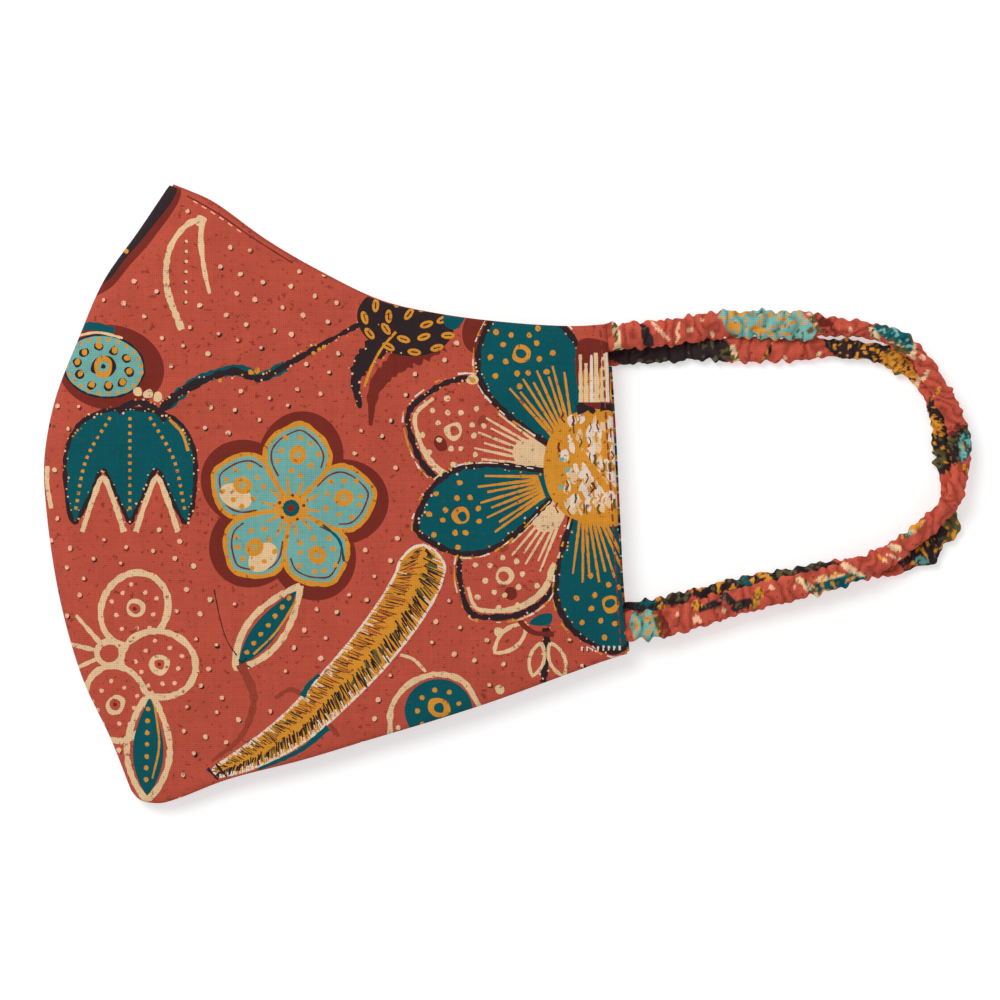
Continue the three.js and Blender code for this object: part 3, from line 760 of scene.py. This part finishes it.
def upper_face(p):
    """The height of the top of the upper panel."""
    from_seam, from_side, from_chin, from_nose = (distance(p, edge) for edge in (seam, side, chin, nose))
    # It rises steeply and then slowly away from the seam, and sinks a little to the nose and the chin.
    free = 1 - np.exp(-from_seam / 24)
    level = 2.1 + 2 * (1 - np.exp(-from_seam / 3)) + 3.8 * free
    level -= 0.9 * free * (np.exp(-from_nose / 7) + np.exp(-from_chin / 7))
    for x0, y0, x1, y1, height, width in FOLDS:
        along = np.array([x1 - x0, y1 - y0])
        length = np.linalg.norm(along)
        share = np.clip(((p - (x0, y0)) @ along) / length ** 2, 0, 1)
        off = ((p[:, 0] - x0) * along[1] - (p[:, 1] - y0) * along[0]) / length
        level += height * np.sin(math.pi * share) ** 2 * np.exp(-(off / width) ** 2)
    # The turned hem is thicker, with a groove where its stitches draw it in.
    groove = np.exp(-((from_side - HEM_WIDTH) / 0.45) ** 2)
    level += (WALL + HEM_EXTRA * hem_share(from_side)) / 2 - 0.22 * groove
    # The free edges are rounded over, and a faint line is pressed in along the nose and the chin.
    edge = np.minimum(np.minimum(from_side, from_chin), from_nose)
    level -= 0.45 * np.clip(1 - edge / 0.8, 0, 1) ** 2
    level -= 0.10 * np.exp(-((np.minimum(from_chin, from_nose) - 1.5) / 0.35) ** 2)
    # Ripples beside the side edge, and soft waves and dimples in all the rest.
    ripple = [noise.noise(Vector((x / 7, y / 1.9, 3))) for x, y in p]
    swell = [noise.noise(Vector((x / 8, y / 8, 7))) for x, y in p]
    dimple = [noise.noise(Vector((x / 2.6, y / 2.6, 1))) for x, y in p]
    waves = np.array(swell) + 0.35 * np.array(dimple)
    return level + 0.20 * np.array(ripple) * np.exp(-from_side / 6) + 0.10 * waves * free


def cloth_panel(name, flat, facets, dyes, face, back, printed_up):
    """A closed wall of cloth: the printed face, the plain back, and the rim between them."""
    count = len(flat)
    vertices = np.vstack([np.column_stack([flat, face]), np.column_stack([flat, back])])
    flipped = facets[:, ::-1]
    sides = (facets, flipped + count) if printed_up else (flipped, facets + count)
    # A side that only one facet has lies on the rim.
    pairs = np.vstack([facets[:, [0, 1]], facets[:, [1, 2]], facets[:, [2, 0]]]).tolist()
    owner = {tuple(pair): k % len(facets) for k, pair in enumerate(pairs)}
    rim = [(a, b) for a, b in owner if (b, a) not in owner]
    quads = [(b, a, a + count, b + count) if printed_up else (a, b, b + count, a + count) for a, b in rim]
    panel = mesh_piece(name, vertices, sides[0].tolist() + sides[1].tolist() + quads)
    palette = {dye: linear(colour) for dye, colour in DYES.items()}
    printed = np.array([palette[dye] for dye in dyes])
    turned_hem = distance(flat[facets].mean(1), side) < HEM_WIDTH
    plain = np.where(turned_hem[:, None], printed, palette["coral"])
    rim_colours = printed[[owner[pair] for pair in rim]]
    colours = [np.repeat(printed, 3, axis=0), np.repeat(plain, 3, axis=0), np.repeat(rim_colours, 4, axis=0)]
    tint = panel.data.color_attributes.new("dye", "FLOAT_COLOR", "CORNER")
    tint.data.foreach_set("color", np.vstack(colours).astype(np.float32).ravel())
    return panel


flat, facets, dyes = cut_cloth(shapes)
top = upper_face(flat)
panel_cotton = printed_cotton("printed_cotton")
left_panel = cloth_panel("left_panel_cloth", flat, facets, dyes, top, top - WALL, True)
left_panel.data.materials.append(panel_cotton)
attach(left_panel, "root")
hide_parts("left_panel")

# ---------------------------------------------------------------- side hem stitches
# One row of running stitches in dark red thread holds the turned hem of the upper half at the ears. The
# thread is 0.4 mm thick. Each stitch is 1.8 mm long, and both its ends sink into the cloth.
THREAD_RADIUS = 0.2
STITCH_STEP = 0.3
STITCH_RINGS = 7
STITCH_PITCH = 8
STITCH_SIDES = 6
hem_line = edge_line((62.3, 38.4, 62.9, 31, 63.6, 18, 64.4, 6, 65.2, -6, 66, -20, 66.9, -33, 67.2, -36.6),
                     STITCH_STEP)
hem_height = upper_face(hem_line)
stitch_vertices, stitch_faces = [], []
for start in range(0, len(hem_line) - STITCH_RINGS, STITCH_PITCH):
    first = len(stitch_vertices)
    last = first + (STITCH_RINGS - 1) * STITCH_SIDES
    for k in range(STITCH_RINGS):
        x, y = hem_line[start + k]
        rise = 0.12 * math.sin(math.pi * k / (STITCH_RINGS - 1))
        reach = THREAD_RADIUS if 0 < k < STITCH_RINGS - 1 else 0.08
        for turn in range(STITCH_SIDES):
            a = turn * math.pi / (STITCH_SIDES / 2)
            stitch_vertices.append((x + reach * math.cos(a), y, hem_height[start + k] + rise
                                    + reach * math.sin(a)))
    for ring_start in range(first, last, STITCH_SIDES):
        for turn in range(STITCH_SIDES):
            a, b = ring_start + turn, ring_start + (turn + 1) % STITCH_SIDES
            stitch_faces.append((a, b, b + STITCH_SIDES, a + STITCH_SIDES))
    stitch_faces.append(tuple(range(first + STITCH_SIDES - 1, first - 1, -1)))
    stitch_faces.append(tuple(range(last, last + STITCH_SIDES)))
stitches = mesh_piece("left_side_hem_stitches", stitch_vertices, stitch_faces)
# Sewing thread, dyed dark red: too fine to show its twist, and a little less dull than the cotton.
red_thread = bpy.data.materials.new("red_thread")
red_thread.use_nodes = True
thread_shader = red_thread.node_tree.nodes["Principled BSDF"]
thread_shader.inputs["Base Color"].default_value = linear("8E2A22")
thread_shader.inputs["Roughness"].default_value = 0.7
stitches.data.materials.append(red_thread)
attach(stitches, "root")

# ---------------------------------------------------------------- right panel
# The other half, cut from the same cloth and lying face down under the first. It shows a little past
# it along the nose and the ears. Its own print is not seen from above, so it has the same one, turned
# to face down.
LOWER_SHIFT = (0.8, 0.35)
PRINT_MIDDLE = -2
turned_over = [(dye, outline * (-1, 1) + (2 * PRINT_MIDDLE, 0)) for dye, outline in shapes]
# Patches of dye along the side hem, which shows beside the upper half.
shapes.clear()
for dye, width, length, gap in (
    ("soot", 5, 6, 8), ("olive", 4, 3, 5), ("teal", 5, 5, 17), ("ochre", 3, 1.2, 5.3),
    ("pale", 1.2, 0.8, 3.1),
):
    dashes(dye, width, length, gap, *SIDE_EDGE)
flat, facets, dyes = cut_cloth(turned_over + shapes)
wall = WALL + HEM_EXTRA * hem_share(distance(flat, side))
table_side = np.zeros(len(flat))
right_panel = cloth_panel("right_panel_cloth", flat + LOWER_SHIFT, facets, dyes, table_side, wall, False)
right_panel.data.materials.append(panel_cotton)
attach(right_panel, "root")
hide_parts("right_panel")

# ---------------------------------------------------------------- table and light
# A white table that glows a little, as a light table does, and one broad soft light from the upper
# left in a bright room, so that the shadow is faint and falls to the lower right.
bpy.ops.mesh.primitive_plane_add(size=4)
table = bpy.context.object
table.name = "table"
# Matt white card, lit from below as well, so that it stays white and its shadows stay faint.
white_card = bpy.data.materials.new("white_card")
white_card.use_nodes = True
card = white_card.node_tree.nodes["Principled BSDF"].inputs
card["Base Color"].default_value = linear("DADADA")
card["Roughness"].default_value = 0.8
card["Specular IOR Level"].default_value = 0.0
card["Emission Color"].default_value = linear("FFFFFF")
card["Emission Strength"].default_value = 0.46
table.data.materials.append(white_card)

sky = bpy.data.worlds.new("studio")
sky.use_nodes = True
sky.node_tree.nodes["Background"].inputs[0].default_value = (1, 1, 1, 1)
sky.node_tree.nodes["Background"].inputs[1].default_value = 0.55
bpy.context.scene.world = sky
lamp_data = bpy.data.lights.new("softbox", "AREA")
lamp_data.shape = "DISK"
lamp_data.size = 0.5
lamp_data.energy = 4.25
lamp = bpy.data.objects.new("softbox", lamp_data)
bpy.context.scene.collection.objects.link(lamp)
lamp.location = (-0.30, 0.42, 0.75)
lamp.rotation_euler = (Vector((0.03, 0, 0)) - lamp.location).to_track_quat("-Z", "Y").to_euler()
bpy.context.scene.view_settings.view_transform = "Standard"
